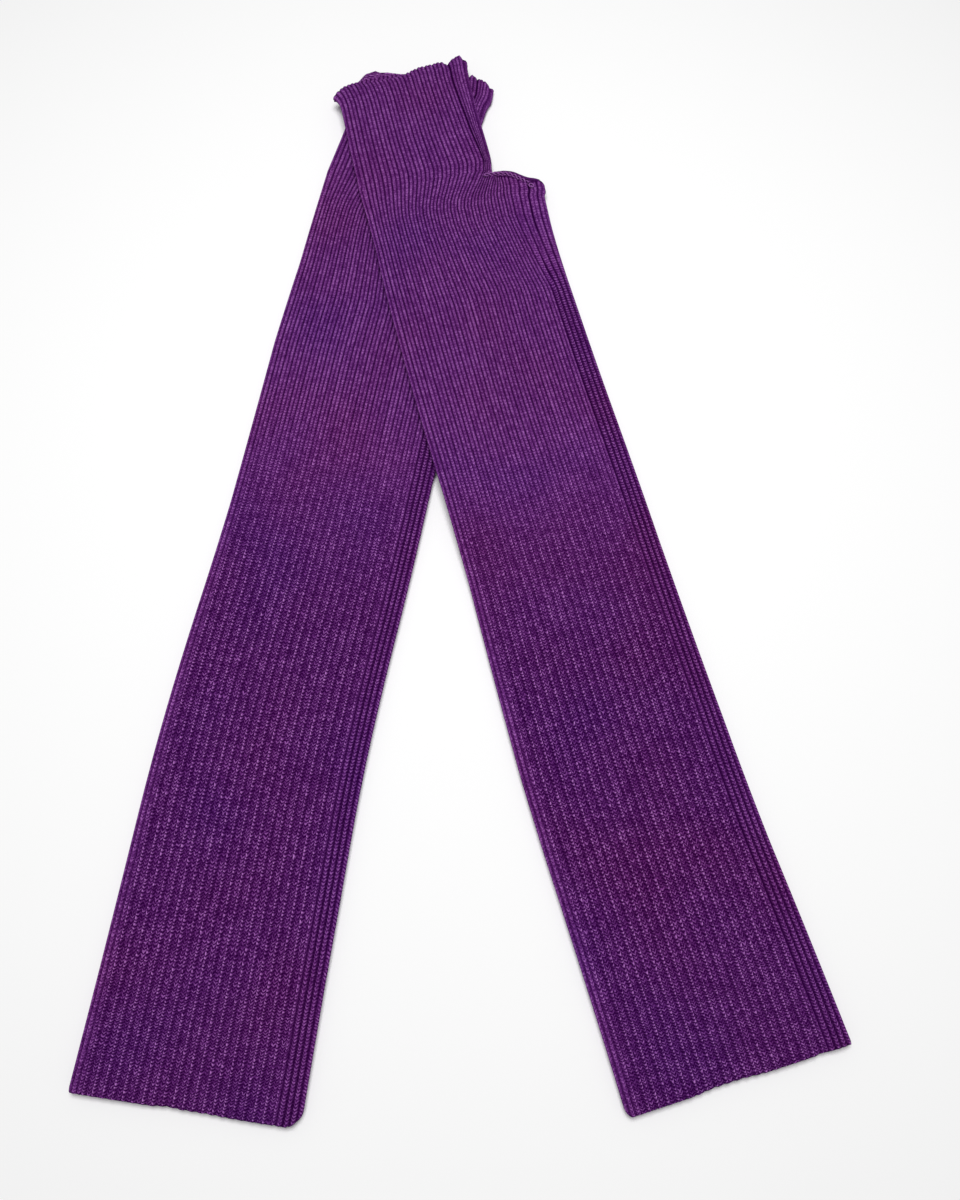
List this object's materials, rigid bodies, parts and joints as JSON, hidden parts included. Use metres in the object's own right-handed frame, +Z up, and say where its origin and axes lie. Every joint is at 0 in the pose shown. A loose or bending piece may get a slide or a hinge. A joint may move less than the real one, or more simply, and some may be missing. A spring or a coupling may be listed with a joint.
{
  "type": "pair of knitted arm warmers",
  "caption": "Long fingerless rib-knit arm warmers with thumb openings, laid flat and crossed near the hands.",
  "frame": {"origin": "on the surface that the pair lies on, below the middle of the pair's outline", "axes": "+Z up from the surface, +Y from the arm ends towards the hand ends, +X towards the arm end of the upper arm warmer"},
  "size_m": [0.2571, 0.4506, 0.0089],
  "materials": {
    "rib_knit": "matte fine-gauge rib knit",
    "cast_off_yarn": "matte chained yarn edge"
  },
  "bodies": {
    "root": {"lower_arm_warmer": "rib_knit", "upper_arm_warmer": "rib_knit", "lower_thumb_edge": "cast_off_yarn", "upper_thumb_edge": "cast_off_yarn"}
  },
  "joints": []
}
